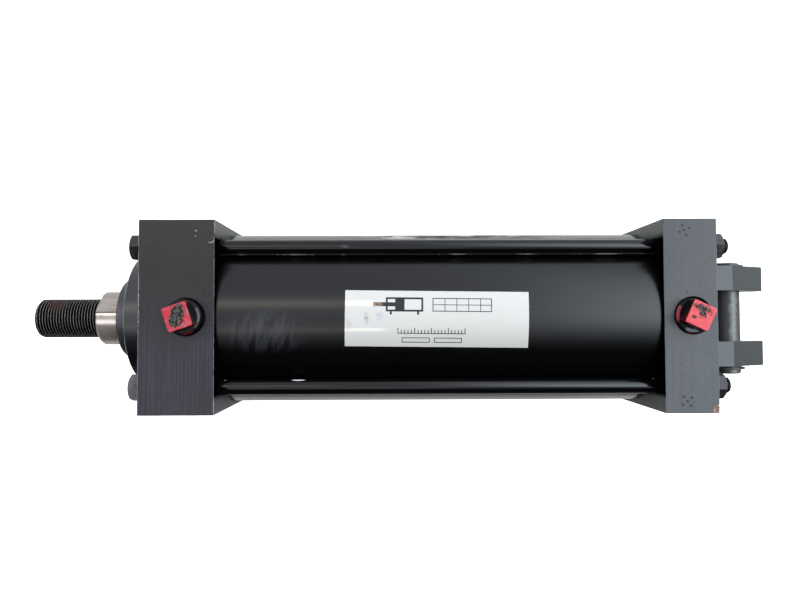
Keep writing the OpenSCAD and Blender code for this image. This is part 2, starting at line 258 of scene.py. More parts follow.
def block_paint(name, dark, light, low, edge, roughness, lined, inner, dull, marks):
    """Black oxide or thin paint on a milled block: tool lines along Y, blotches, worn edges.

    low is the colour toward -Y, where a lighter tone is painted light for the light the top
    faces catch on that side, and lined says how much the tool lines show there. inner holds
    two values of x that bound the block's inner face. Between the tie rods that face is
    painted shade, near black and without gloss, and dull says how much gloss it has lost
    toward -Y. marks is a function that takes the Paint and gives (share, colour, sunk)
    triples to lay on top.
    """
    p = Paint(name)
    lines = p.noise(p.place((1000, 14, 1000)), 1.0, 3, 0.6)
    bands = p.noise(p.place((330, 6, 330)), 1.0, 2, 0.5)
    blotch = p.noise(p.place(), 60, 6, 0.66)
    grain = p.noise(p.place(), 900, 3, 0.6)
    x, y, _ = p.axes(p.place())
    down = p.step(y, 30 * MM, -30 * MM)
    brushed = p.scale(down, 0.18, lined)
    tone = p.math("ADD", p.times(lines, brushed),
                  p.times(grain, p.math("SUBTRACT", 0.7, brushed)))
    tone = p.math("ADD", tone, p.math("ADD", p.times(bands, 0.08), p.times(blotch, 0.22)))
    level = p.step(tone, 0.42, 0.58)
    # Painted light: toward -Y the colour turns to the lighter low tone, for the light caught there
    toward = p.mix(level, tuple(c * (1.1 - lined) for c in low),
                   tuple(c * (0.9 + lined) for c in low))
    body = p.mix(down, p.mix(level, dark, light), toward)
    specks = p.step(p.noise(p.place(), 520, 3, 0.5), 0.7, 0.76)
    body = p.mix(p.times(specks, 0.5), body, tuple(c * 0.4 for c in dark))
    wear = p.step(p.noise(p.place(), 130, 4, 0.6), 0.36, 0.6)
    shade = p.mix(p.times(p.slant(), wear), body, edge)
    holes = 0.0
    for share, colour, sunk in marks(p):
        shade = p.mix(share, shade, colour)
        if sunk:
            holes = p.math("ADD", holes, p.times(share, -1.0))
    face = p.step(x, *inner)
    # Painted shade: the inner face between the tie rods is made near black and without gloss
    gap_shade = p.times(face, p.step(p.math("ABSOLUTE", y), *GAP_SHADE_EDGE))
    dulled = p.math("MAXIMUM", gap_shade, p.times(face, p.step(y, *DULL_EDGE), dull))
    p.plug_in(p.scale(dulled, 0.5, 0.0), p.shader.inputs["Specular IOR Level"])
    p.colour(p.mix(gap_shade, shade, (0.0008, 0.0008, 0.001)))
    p.rough(tone, roughness - 0.12, roughness + 0.14)
    p.bump((holes, 0.6, 0.0005), (bands, 0.06, 0.0003), (lines, 0.16, 0.0001),
           (grain, 0.35, 0.00006), rounding=0.25 * MM)
    return p.material


def port_shade(p, x):
    """The dark mouth of a port at x."""
    place = p.place((1, 1, 0), shift=(-x, 0, 0))
    node = p.add("VectorMath", operation="LENGTH")
    p.plug_in(place, node.inputs[0])
    return p.step(node.outputs["Value"], PORT_MOUTH_R, PORT_MOUTH_R - 0.4 * MM)


def head_marks(p):
    """Nicks and pale dots of the head's top, and its port's dark mouth."""
    x, y, z = p.axes(p.place(shift=(329.1 * MM, -45.9 * MM, 0)))
    hook = p.math("ABSOLUTE", p.math("SUBTRACT", p.length(x, y), 2.4 * MM))
    nick = p.times(p.step(hook, 0.32 * MM, 0.06 * MM),
                   p.step(z, HALF_BLOCK - MM, HALF_BLOCK - 0.6 * MM),
                   p.step(p.math("SUBTRACT", x, y), 0.6 * MM, 1.6 * MM))
    ragged = p.step(p.noise(p.place(), 900, 3, 0.6), 0.42, 0.55)
    dots = [
        (p.near((-337.5 * MM, 50.5 * MM, HALF_BLOCK), 0.35 * MM, 0.7 * MM), (0.2, 0.2, 0.2), False),
        (p.near((-337.7 * MM, 47.4 * MM, HALF_BLOCK), 0.3 * MM, 0.6 * MM), (0.16, 0.16, 0.16), False),
    ]
    front = p.near((-370.9 * MM, 8 * MM, HALF_BLOCK), 0.4 * MM, 0.8 * MM, (1, 0.028, 1))
    return dots + [
        (port_shade(p, HEAD_PORT_X), (0.002, 0.002, 0.002), False),
        (p.times(nick, p.scale(ragged, 0.3, 1.0)), (0.45, 0.45, 0.43), False),
        (p.times(front, ragged, 0.8), (0.34, 0.34, 0.36), False),
    ]


def cap_marks(p):
    """Punched dots, the bare, rusted corner, the ears' paler flats, and painted shade on the
    ears' slopes.
    """
    dark = (0.012, 0.012, 0.014)
    bare = p.near((-31.2 * MM, -56.2 * MM, HALF_BLOCK), 0.0, 10 * MM)
    ragged = p.noise(p.place(), 260, 5, 0.7)
    share = p.step(p.math("ADD", bare, ragged), 1.02, 1.12)
    rust = p.mix(p.step(p.noise(p.place(), 480, 4), 0.42, 0.54), (0.5, 0.35, 0.24), (0.1, 0.04, 0.015))
    x = p.axes(p.place())[0]
    tilt = p.math("ABSOLUTE", p.axes(p.add("TexCoord").outputs["Normal"])[0])
    ears = p.step(x, -32 * MM, -31 * MM)
    # Painted shade: the ears' slopes, picked by their tilt toward +X, are made darker
    slope_shade = p.times(ears, p.step(tilt, 0.3, 0.4), p.step(tilt, 0.7, 0.6))
    return [
        (p.times(ears, 0.8), (0.085, 0.09, 0.092), False),
        (p.times(slope_shade, 0.85), (0.009, 0.01, 0.01), False),
        (punch_dots(p, -51 * MM, 50.1 * MM, 3.1 * MM, math.radians(67), 0.8 * MM), dark, True),
        (punch_dots(p, -50.8 * MM, -50.3 * MM, 3.3 * MM, math.radians(52), 0.9 * MM), dark, True),
        (p.near((-49.8 * MM, 13.4 * MM, HALF_BLOCK), 0.3 * MM, 0.7 * MM), dark, True),
        (share, rust, False),
        (port_shade(p, CAP_PORT_X), (0.002, 0.002, 0.002), False),
    ]


def gloss_black(name, tone, roughness, gloss, marks=None):
    """Gloss black enamel with a faint orange peel and dust.

    gloss is the strength of the clean enamel's mirror reflection, its Specular IOR Level.
    marks is a function that takes the Paint and gives (share, colour, gloss) triples to lay on
    top, where the last is the share of gloss left under the mark.
    """
    p = Paint(name)
    wave = p.noise(p.place((8, 60, 60)), 1.0, 2, 0.5)
    peel = p.noise(p.place(), 330, 2, 0.5)
    specks = p.step(p.noise(p.place(), 1100, 2, 0.5), 0.74, 0.8)
    dust = p.step(p.noise(p.place((30, 90, 90)), 1.0, 6, 0.7), 0.5, 0.85)
    rough = p.times(dust, 0.3)
    shade = p.mix(p.times(dust, 0.5), tone, tuple(c * 2 + 0.0015 for c in tone))
    shade = p.mix(p.times(specks, 0.3), shade, (0.05, 0.05, 0.05))
    layers = marks(p) if marks else ()
    for share, colour, left in layers:
        shade = p.mix(share, shade, colour)
        if left < 1:
            gloss = p.times(p.scale(share, 1.0, left), gloss)
            rough = p.math("ADD", rough, p.times(share, 1 - left))
    p.colour(shade)
    p.plug_in(gloss, p.shader.inputs["Specular IOR Level"])
    p.rough(rough, roughness, roughness + 0.2)
    p.bump((wave, 0.05, 0.0006), (peel, 0.05, 0.0001))
    return p.material


def tube_marks(p):
    """Wipe marks beside the head, smeared dirt along the upper side, and painted shade along the
    lower side: a black, matte band beside the lower tie rod.
    """
    x, y, z = p.axes(p.place())
    streaks = p.noise(p.place((240, 36, 36), (0, 0, 0.24)), 1.0, 4, 0.62)
    patches = p.noise(p.place((70, 70, 70)), 1.0, 3, 0.5)
    around = p.near((-297 * MM, -8.5 * MM, TUBE_R), 6 * MM, 17 * MM, (0.54, 1.1, 0.8))
    scuffs = p.times(around, p.step(streaks, 0.4, 0.6), p.scale(patches, 0.4, 1.2), 0.95)
    side = p.times(p.step(y, 49 * MM, 51 * MM), p.step(z, -3 * MM, 6 * MM),
                   p.step(x, -262 * MM, -225 * MM), p.step(x, -90 * MM, -150 * MM))
    smears = p.step(p.noise(p.place((40, 90, 90)), 1.0, 5, 0.7), 0.43, 0.57)
    swirls = p.step(p.noise(p.place((45, 130, 130)), 1.0, 6, 0.75), 0.52, 0.63)
    # Painted shade: a black, matte band in the gap beside the lower tie rod
    gap_shade = p.times(p.step(y, -22 * MM, -31 * MM), p.step(z, 22 * MM, 28 * MM))
    return [
        (scuffs, (0.03, 0.032, 0.042), 0.9),
        (p.times(side, smears), (0.07, 0.067, 0.058), 0),
        (p.times(side, swirls), (0.42, 0.41, 0.36), 1),
        (gap_shade, (0.0004, 0.0004, 0.0006), 0.2),
    ]


def tie_rod_highlight_line(p):
    """Painted highlight: a broken pale line along the inner side of the upper tie rod. Also a
    small pale spot.
    """
    _, y, z = p.axes(p.place())
    # Painted highlight: broken pale dashes along the inner side of the tie rod
    dashes = p.step(p.noise(p.place((26, 0, 0)), 1.0, 4, 0.7), 0.5, 0.6)
    line = p.times(p.step(y, 38.1 * MM, 37.8 * MM), p.step(z, 40 * MM, 41 * MM))
    pale_spot = p.near((-251.3 * MM, 42.2 * MM, 47.6 * MM), 0.6 * MM, 1.6 * MM, (0.35, 1, 1))
    return [
        (p.times(line, p.scale(dashes, 0.12, 1.0)), (0.42, 0.43, 0.43), 1),
        (p.times(pale_spot, 0.7), (0.06, 0.06, 0.065), 1),
    ]


def bare_streak(p):
    """A short scrape down to bright metal on the lower tie rod, and chips near its ends."""
    scrape = p.near((-279.2 * MM, -37.9 * MM, 44.3 * MM), 0.5 * MM, 0.8 * MM, (0.17, 1, 1))
    marks = [(scrape, (0.8, 0.8, 0.78), 1)]
    for x in (-323.2, -65.6):
        chip = p.near((x * MM, -37.9 * MM, 44 * MM), 0.3 * MM, 0.7 * MM)
        marks.append((chip, (0.35, 0.33, 0.28), 1))
    return marks


def turned_black(name, tone, roughness, metal=0.0, rim=None):
    """Blackened part with lathe lines around the X axis.

    rim holds the colour, the x and the radius of a pale front rim, a painted highlight on its
    chamfer.
    """
    p = Paint(name, Specular_IOR_Level=0.8, Metallic=metal)
    x, y, z = p.axes(p.place())
    path = p.add("CombineXYZ")
    p.plug_in(p.math("ADD", x, p.length(y, z)), path.inputs["X"])
    lines = p.noise(path.outputs["Vector"], 2300, 3, 0.6)
    blotch = p.noise(p.place(), 75, 5, 0.6)
    pale = tuple(c * 2.1 for c in tone)
    shade = p.mix(p.step(blotch, 0.42, 0.75), tone, pale)
    shade = p.mix(p.times(p.step(lines, 0.55, 0.8), 0.5), shade, tuple(c * 3 for c in tone))
    if rim:
        colour, front, radius = rim
        # Painted highlight: a broken pale line on the front rim's chamfer
        corner = p.times(p.step(x, front + 0.5 * MM, front + 0.3 * MM),
                         p.step(p.length(y, z), radius - 0.6 * MM, radius - 0.3 * MM))
        shade = p.mix(p.times(corner, p.step(blotch, 0.3, 0.5)), shade, colour)
    p.colour(shade)
    p.rough(blotch, roughness - 0.06, roughness + 0.12)
    p.bump((lines, 0.12, 0.0001), (blotch, 0.08, 0.0002), rounding=0.2 * MM)
    return p.material


def nut_paint(name, dark, light):
    """Painted steel nuts with chipped corners."""
    p = Paint(name, Specular_IOR_Level=0.5)
    blotch = p.noise(p.place(), 300, 4, 0.6)
    chips = p.noise(p.place(), 700, 3, 0.6)
    body = p.mix(p.step(blotch, 0.35, 0.7), dark, light)
    p.colour(p.mix(p.times(p.step(chips, 0.66, 0.74), 0.6), body, (0.1, 0.09, 0.085)))
    p.rough(blotch, 0.3, 0.5)
    p.bump((blotch, 0.3, 0.0002), (chips, 0.15, 0.00008), rounding=0.35 * MM)
    return p.material


def ground_steel(name, tone, brown, roughness, stain, metal=1.0, highlight_and_shade_lines=()):
    """Bare ground steel, its lines around X, with brown handling marks by stain (0 to 1).

    highlight_and_shade_lines holds (y, inner half width, outer half width, colour) for each
    line along its upper side: pale lines are painted highlights and a dark line is painted
    shade. A small dark dot comes with them.
    """
    p = Paint(name, Metallic=metal)
    lines = p.noise(p.place((2600, 50, 50)), 1.0, 2, 0.6)
    blotch = p.noise(p.place((1, 1.6, 1.6)), 90, 5, 0.62)
    smear = p.noise(p.place((60, 260, 260)), 1.0, 3, 0.5)
    dots = p.step(p.noise(p.place(), 430, 3, 0.5), 0.69, 0.74)
    handled = p.math("ADD", p.times(blotch, 0.6), p.times(smear, 0.4))
    mask = p.times(p.step(handled, 0.42, 0.62), stain)
    shade = p.mix(mask, tone, brown)
    shade = p.mix(p.times(dots, stain), shade, (0.06, 0.045, 0.035))
    if highlight_and_shade_lines:
        _, y, z = p.axes(p.place())
        for line_y, full, faint, colour in highlight_and_shade_lines:
            # Painted highlights and painted shade as lines along the rod's upper side
            line = p.step(p.math("ABSOLUTE", p.math("SUBTRACT", y, line_y)), faint, full)
            line = p.times(line, p.step(z, 12 * MM, 14 * MM), p.scale(blotch, 0.7, 1.2))
            shade = p.mix(line, shade, colour)
        dot = p.near(ROD_DOT, 0.3 * MM, 0.7 * MM)
        shade = p.mix(p.times(dot, 0.8), shade, (0.03, 0.025, 0.02))
    p.colour(shade)
    rough = p.math("ADD", p.times(blotch, 0.6), p.times(lines, 0.4))
    p.rough(rough, roughness - 0.08, roughness + 0.12)
    p.bump((lines, 0.12, 0.00005), (smear, 0.04, 0.0001), rounding=0.12 * MM)
    return p.material


def thread_oxide(name, dark, brown, crest_r, rust_at=None):
    """Black oxide threads: brown in places, and worn pale at the crest radius."""
    p = Paint(name, Metallic=0.3)
    _, y, z = p.axes(p.place())
    blotch = p.noise(p.place(), 140, 4, 0.6)
    fine = p.noise(p.place(), 1000, 2, 0.6)
    body = p.mix(p.step(blotch, 0.5, 0.75), dark, brown)
    crest = p.step(p.length(y, z), crest_r - 0.16 * MM, crest_r)
    worn = p.times(crest, p.scale(p.step(fine, 0.35, 0.7), 0.35, 1.0))
    shade = p.mix(worn, body, (0.28, 0.28, 0.28) if rust_at else (0.03, 0.03, 0.03))
    if rust_at:
        patch = p.times(p.near(rust_at, 1 * MM, 8 * MM), p.scale(blotch, 0.4, 1.2))
        shade = p.mix(patch, shade, (0.075, 0.035, 0.025))
    p.colour(shade)
    p.plug_in(p.scale(crest, 0.06, 0.4), p.shader.inputs["Specular IOR Level"])
    p.rough(blotch, 0.3, 0.46)
    p.bump((fine, 0.08, 0.00008))
    return p.material


def plug_top(name, red, pale, smudges):
    """Red top of a plug with ragged dark smudges, each given as centre, half lengths, turn."""
    p = Paint(name)
    blotch = p.noise(p.place(), 260, 5, 0.65)
    fine = p.noise(p.place(), 900, 3, 0.6)
    ragged = p.math("ADD", p.times(blotch, 2.6), p.times(fine, 2.2))
    speckle = p.noise(p.place(), 850, 2, 0.5)
    patch = 0.0
    for centre, reach, turn in smudges:
        place = p.place((1 / reach[0], 1 / reach[1], 0), (0, 0, turn), (-centre[0], -centre[1], 0))
        inside = p.add("VectorMath", operation="LENGTH")
        p.plug_in(place, inside.inputs[0])
        share = p.step(p.math("SUBTRACT", ragged, p.times(inside.outputs["Value"], 1.2)), 1.1, 1.4)
        patch = p.math("MAXIMUM", patch, share)
    top = p.mix(p.step(blotch, 0.44, 0.68), red, pale)
    top = p.mix(p.times(p.step(fine, 0.62, 0.72), 0.5), top, tuple(c * 0.4 for c in red))
    dirt = p.mix(p.step(speckle, 0.46, 0.58), (0.001, 0.009, 0.008), (0.064, 0.08, 0.074))
    p.colour(p.mix(p.times(patch, 0.97), top, dirt))
    p.plug_in(p.scale(patch, 0.5, 0.15), p.shader.inputs["Specular IOR Level"])
    p.rough(blotch, 0.32, 0.55)
    p.bump((blotch, 0.35, 0.0003), (fine, 0.2, 0.0001))
    return p.material


def plug_cover(name, body_top, rims):
    """Black overspray on the sides of a plug, worn through to red plastic around its body. Grey
    arcs there are painted reflections of light on the body's rim, and a pink one is red plastic
    with a painted highlight.

    rims holds (colour, middle, half, least, most) for each stretch: its angles in the
    plug's own axes, in degrees, and its radii.
    """
    p = Paint(name)
    blotch = p.noise(p.place(), 240, 4, 0.6)
    fine = p.noise(p.place(), 900, 3, 0.6)
    x, y, z = p.axes(p.place())
    out = p.length(x, y)
    corner = p.step(out, 9.2 * MM, 9.9 * MM)
    above = p.step(z, body_top + 0.5 * MM, body_top + 2 * MM)
    chips = p.times(p.step(p.math("ADD", blotch, p.times(corner, 0.14)), 0.6, 0.7), above)
    shade = p.mix(chips, (0.004, 0.0035, 0.004), (0.2, 0.008, 0.016))
    shade = p.mix(p.times(p.step(fine, 0.66, 0.74), 0.3), shade, (0.06, 0.05, 0.05))
    level = p.times(p.step(z, body_top - 1.2 * MM, body_top - 0.8 * MM),
                    p.step(z, body_top + 0.5 * MM, body_top + 0.2 * MM))
    # Red stretches are red plastic showing through; grey ones are painted reflections on the rim
    for colour, middle, half, least, most in rims:
        toward = p.math("ADD", p.times(x, math.cos(math.radians(middle))),
                        p.times(y, math.sin(math.radians(middle))))
        facing = p.step(p.math("DIVIDE", toward, out), math.cos(math.radians(half + 12)),
                        math.cos(math.radians(half)))
        ring = p.times(p.step(out, least, least + 0.3 * MM), p.step(out, most, most - 0.3 * MM))
        worn = p.times(level, facing, ring)
        shade = p.mix(p.times(worn, p.scale(blotch, 0.6, 1.3)), shade, colour)
    p.colour(shade)
    p.rough(blotch, 0.26, 0.46)
    shown = p.step(z, body_top - 1.5 * MM, body_top - 1.1 * MM)
    p.plug_in(p.scale(shown, 0.0, 0.22), p.shader.inputs["Specular IOR Level"])
    p.bump((blotch, 0.3, 0.0002), (fine, 0.15, 0.00008))
    return p.material


def rubber(name, tone):
    """Dull moulded rubber or urethane."""
    p = Paint(name, Specular_IOR_Level=0.35)
    grain = p.noise(p.place(), 900, 3, 0.6)
    dust = p.noise(p.place(), 80, 4, 0.6)
    p.colour(p.mix(p.step(dust, 0.45, 0.8), tone, tuple(c * 1.8 + 0.01 for c in tone)))
    p.rough(dust, 0.5, 0.75)
    p.bump((grain, 0.2, 0.0001))
    return p.material


def cast_iron(name, tone):
    """Machined iron with a mottled, slightly porous skin."""
    p = Paint(name, Metallic=0.8)
    pores = p.noise(p.place(), 620, 4, 0.6)
    blotch = p.noise(p.place(), 70, 4, 0.6)
    p.colour(p.mix(p.step(blotch, 0.4, 0.75), tone, tuple(c * 1.6 for c in tone)))
    p.rough(pores, 0.32, 0.58)
    p.bump((pores, 0.2, 0.0001))
    return p.material


def worn_pin_with_highlight():
    """Dark plated pin with a pale, mottled stripe along its top: worn metal and painted highlight."""
    p = Paint("pin_steel", Metallic=0.6)
    x = p.axes(p.place())[0]
    blotch = p.noise(p.place((1, 0.6, 1)), 430, 5, 0.7)
    fine = p.noise(p.place(), 1300, 3, 0.6)
    away = p.times(p.math("ABSOLUTE", p.math("SUBTRACT", x, 2.0 * MM)), 1 / (4.3 * MM))
    # Worn metal and painted highlight: a pale stripe along the top of the pin
    mask = p.step(p.math("SUBTRACT", p.times(blotch, 2.0), away), 0.0, 1.0)
    p.colour(p.mix(mask, (0.04, 0.041, 0.039), (0.145, 0.145, 0.135)))
    p.rough(blotch, 0.36, 0.56)
    p.bump((blotch, 0.3, 0.00012), (fine, 0.1, 0.00005))
    return p.material


def label_film():
    """Gloss white film with faint scratches and rubbed spots."""
    p = Paint("label_film", Specular_IOR_Level=0.5, Coat_Weight=1.0, Coat_Roughness=0.06,
              Coat_IOR=1.8)
    haze = p.noise(p.place(), 42, 4, 0.6)
    scratch = p.noise(p.place((35, 260, 35), (0, 0, 0.5)), 1.0, 5, 0.75)
    middle = p.near((-248 * MM, 4 * MM, TUBE_R), 4 * MM, 34 * MM)
    clean = p.mix(haze, (0.57, 0.56, 0.52), (0.595, 0.585, 0.545))
    rubs = p.times(p.step(scratch, 0.6, 0.72), p.scale(middle, 0.0, 0.4))
    shade = p.mix(rubs, clean, (0.34, 0.35, 0.34))
    ragged = p.scale(p.step(p.noise(p.place(), 420, 4, 0.65), 0.4, 0.62), 0.2, 1.0)
    for point, stretch, tint in (
        ((-238.1, -1.0, 54.6), (2.2, 0.8, 1), (0.22, 0.23, 0.26)),
        ((-230.2, 0.2, 54.6), (1.3, 1.1, 1), (0.36, 0.38, 0.44)),
        ((-248.6, -4.9, 54.4), (1.6, 0.9, 1), (0.42, 0.4, 0.3)),
        ((-142.2, 3.4, 54.6), (5, 4, 1), (0.1, 0.11, 0.13)),
        ((-145.2, 13.2, 53.2), (6, 4, 1), (0.15, 0.16, 0.17)),
    ):
        spot = p.near(tuple(c * MM for c in point), 1.2 * MM, 4.2 * MM, stretch)
        shade = p.mix(p.times(spot, ragged, 0.75), shade, tint)
    p.colour(shade)
    p.rough(haze, 0.26, 0.28)
    p.bump((haze, 0.006, 0.0003))
    return p.material


def label_ink():
    """Black print, slightly rubbed."""
    p = Paint("label_ink", Specular_IOR_Level=0.4)
    rub = p.noise(p.place(), 560, 4, 0.7)
    shade = p.mix(p.step(rub, 0.58, 0.78), (0.006, 0.006, 0.007), (0.1, 0.1, 0.1))
    stain = p.times(p.near((-232 * MM, 7 * MM, TUBE_R), 1.5 * MM, 4.5 * MM), p.step(rub, 0.4, 0.55))
    p.colour(p.mix(stain, shade, (0.3, 0.2, 0.12)))
    p.rough(rub, 0.25, 0.45)
    p.bump((rub, 0.1, 0.00005))
    return p.material


# ---- Mesh building ----


def finish_mesh(name, bm, materials, sharp=35):
    """Makes the object of a bmesh, smooth except across edges sharper than an angle."""
    bmesh.ops.remove_doubles(bm, verts=bm.verts, dist=WELD)
    bmesh.ops.recalc_face_normals(bm, faces=bm.faces)
    mesh = bpy.data.meshes.new(name)
    bm.to_mesh(mesh)
    bm.free()
    for polygon in mesh.polygons:
        polygon.use_smooth = True
    mesh.set_sharp_from_angle(angle=math.radians(sharp))
    for material in materials:
        mesh.materials.append(material)
    obj = bpy.data.objects.new(name, mesh)
    bpy.context.scene.collection.objects.link(obj)
    return obj


def even_angles(count):
    return [2 * math.pi * i / count for i in range(count)]


def add_rings(bm, rows, angles):
    """A ring of vertices around +X for each row, which gives (x, r) at an angle from +Y."""
    grid = []
    for row in rows:
        ring = []
        for angle in angles:
            x, r = row(angle)
            ring.append(bm.verts.new((x, r * math.cos(angle), r * math.sin(angle))))
        grid.append(ring)
    return grid


def skin(bm, grid, shift=0, material=0):
    """Faces between rings. The seam joins each ring to the one shift rings further on."""
    faces = []
    for j in range(len(grid) - 1):
        ring, after = grid[j], grid[j + 1]
        for i in range(len(ring) - 1):
            faces.append(bm.faces.new((ring[i], ring[i + 1], after[i + 1], after[i])))
        if j + 1 + shift < len(grid):
            over, beyond = grid[j + shift], grid[j + 1 + shift]
            faces.append(bm.faces.new((ring[-1], over[0], beyond[0], after[-1])))
    for face in faces:
        face.material_index = material
    return faces


def close_ring(bm, ring, material=0):
    bm.faces.new(ring).material_index = material


def steady(x, r):
    """A round row."""
    return lambda angle: (x, r)


def thread_row(base, deep, x0, x1, r, pitch, fade):
    """One row of a right-hand thread that is chamfered at x0 and runs out toward x1."""
    depth = THREAD_DEPTH * pitch
    end = r - 1.2 * depth

    def row(angle):
        x = min(max(base + pitch * angle / (2 * math.pi), x0), x1)
        kept = min(max((x1 - x) / fade, 0), 1)
        level = r - deep * depth * kept
        cone = end + (x - x0) / (0.6 * pitch) * (r - end)
        return x, min(level, cone)

    return row


def add_thread(bm, x0, x1, r, pitch, angles, fade, material=0):
    """Right-hand thread from x0 to x1 with crests at r: its rows follow the helix."""
    shape = ((0.0, 0.0), (0.13, 0.0), (0.42, 0.94), (0.5, 1.0), (0.58, 0.94))
    rows = []
    for turn in range(math.floor(x0 / pitch) - 2, math.ceil(x1 / pitch) + 2):
        for along, deep in shape:
            rows.append(thread_row((turn + along) * pitch, deep, x0, x1, r, pitch, fade))
    skin(bm, add_rings(bm, rows, angles), len(shape), material)


def thread_end_r(r, pitch):
    return r - 1.2 * THREAD_DEPTH * pitch


def flat_section(angle):
    """Radius of the rod where the two wrench flats cut it."""
    across = abs(math.cos(angle - FLAT_TURN))
    if across < 1e-6:
        return ROD_R
    return min(ROD_R, FLAT_OFF / across)


def rod_angles(count):
    """Even angles, some moved onto the edges of the flats."""
    angles = even_angles(count)
    half = math.acos(FLAT_OFF / ROD_R)
    for side in (FLAT_TURN, FLAT_TURN + math.pi):
        for edge in (side - half, side + half):
            edge = edge % (2 * math.pi)
            nearest = min(range(count), key=lambda i: abs(angles[i] - edge))
            angles[nearest] = edge
    return angles


def flat_row(x, cut=0.0):
    """A row of the flatted length, with its round parts cut in by a chamfer."""
    return lambda angle: (x, min(flat_section(angle), ROD_R - cut))


def make_rod():
    """Piston rod: threaded end with a centre drilling, wrench flats, ground rod, spigot."""
    low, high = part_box("piston_rod")
    tip = low.x
    shoulder = tip + THREAD_LEN
    flat_end = shoulder + FLAT_LEN
    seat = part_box("piston")[0].x
    end_r = thread_end_r(ROD_THREAD_R, ROD_PITCH)
    bm = bmesh.new()
    even = even_angles(96)
    add_thread(bm, tip, shoulder, ROD_THREAD_R, ROD_PITCH, even, 1.4 * ROD_PITCH)
    drilling = add_rings(bm, [
        steady(tip, end_r), steady(tip, 3.6 * MM), steady(tip + 3 * MM, 1.6 * MM),
        steady(tip + 6 * MM, 1.6 * MM),
    ], even)
    skin(bm, drilling)
    close_ring(bm, drilling[-1])
    angles = rod_angles(96)
    flats = add_rings(bm, [
        steady(shoulder, ROD_THREAD_R - 0.4 * MM), flat_row(shoulder, SHOULDER_CUT),
        flat_row(shoulder + SHOULDER_CUT), flat_row(flat_end),
    ], angles)
    for face in skin(bm, flats, material=1):
        if max(v.co.yz.length for v in face.verts) < ROD_R - 0.02 * MM:
            face.material_index = 2
    ground = add_rings(bm, [
        flat_row(flat_end), steady(flat_end, ROD_R), steady(seat, ROD_R),
        steady(seat, SPIGOT_R), steady(high.x - MM, SPIGOT_R), steady(high.x, SPIGOT_R - MM),
    ], angles)
    skin(bm, ground, material=3)
    close_ring(bm, ground[-1], 3)
    return finish_mesh("rod_with_thread", bm, [
        thread_oxide("rod_thread", (0.002, 0.002, 0.002), (0.006, 0.005, 0.004), ROD_THREAD_R,
                     (-441.5 * MM, 9 * MM, 9 * MM)),
        ground_steel("rod_band", (0.46, 0.4, 0.36), (0.36, 0.29, 0.25), 0.3, 0.8, 0.6, [
            # Painted shade at the flat's edge, then two painted highlights on the round
            (3.7 * MM, 0.2 * MM, 0.8 * MM, (0.12, 0.1, 0.08)),
            (2.3 * MM, 0.3 * MM, 0.8 * MM, (1.0, 0.95, 0.86)),
            (-2.6 * MM, 0.3 * MM, 2.4 * MM, (0.95, 0.88, 0.86)),
        ]),
        ground_steel("rod_flats", (0.42, 0.38, 0.36), (0.3, 0.24, 0.2), 0.42, 0.6),
        ground_steel("rod_chrome", (0.62, 0.62, 0.63), (0.4, 0.38, 0.36), 0.14, 0.15),
    ], 30)


def make_tie_rod(number, shank, thread):
    """Tie rod with a rolled thread at both ends."""
    low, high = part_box(f"tie_rod_{number}")
    middle = (low + high) / 2
    length = high.x - low.x
    end_r = thread_end_r(TIE_R, TIE_PITCH)
    bm = bmesh.new()
    angles = even_angles(40)
    add_thread(bm, 0, TIE_THREAD, TIE_R, TIE_PITCH, angles, 2 * TIE_PITCH, 1)
    tip = add_rings(bm, [steady(0, end_r), steady(0, end_r * 0.5)], angles)
    skin(bm, tip, material=1)
    close_ring(bm, tip[-1], 1)
    bmesh.ops.remove_doubles(bm, verts=bm.verts, dist=WELD)
    copy = bmesh.ops.duplicate(bm, geom=bm.verts[:] + bm.edges[:] + bm.faces[:])
    far = [item for item in copy["geom"] if isinstance(item, bmesh.types.BMVert)]
    bmesh.ops.rotate(bm, verts=far, cent=(0, 0, 0), matrix=Matrix.Rotation(math.pi, 3, "Z"))
    bmesh.ops.translate(bm, verts=far, vec=(length, 0, 0))
    skin(bm, add_rings(bm, [steady(TIE_THREAD, TIE_R), steady(length - TIE_THREAD, TIE_R)], angles))
    bmesh.ops.translate(bm, verts=bm.verts, vec=(low.x, middle.y, middle.z))
    return finish_mesh(f"tie_rod_{number}_threaded", bm, [shank, thread], 40)


def square_row(z, inset, corner_r):
    """A row around the plug's square head: flats inset by a distance, corners cut round."""

    def row(angle):
        across = max(abs(math.cos(angle)), abs(math.sin(angle)))
        return z, min((PLUG_SIDE / 2 - inset) / across, corner_r - inset)

    return row


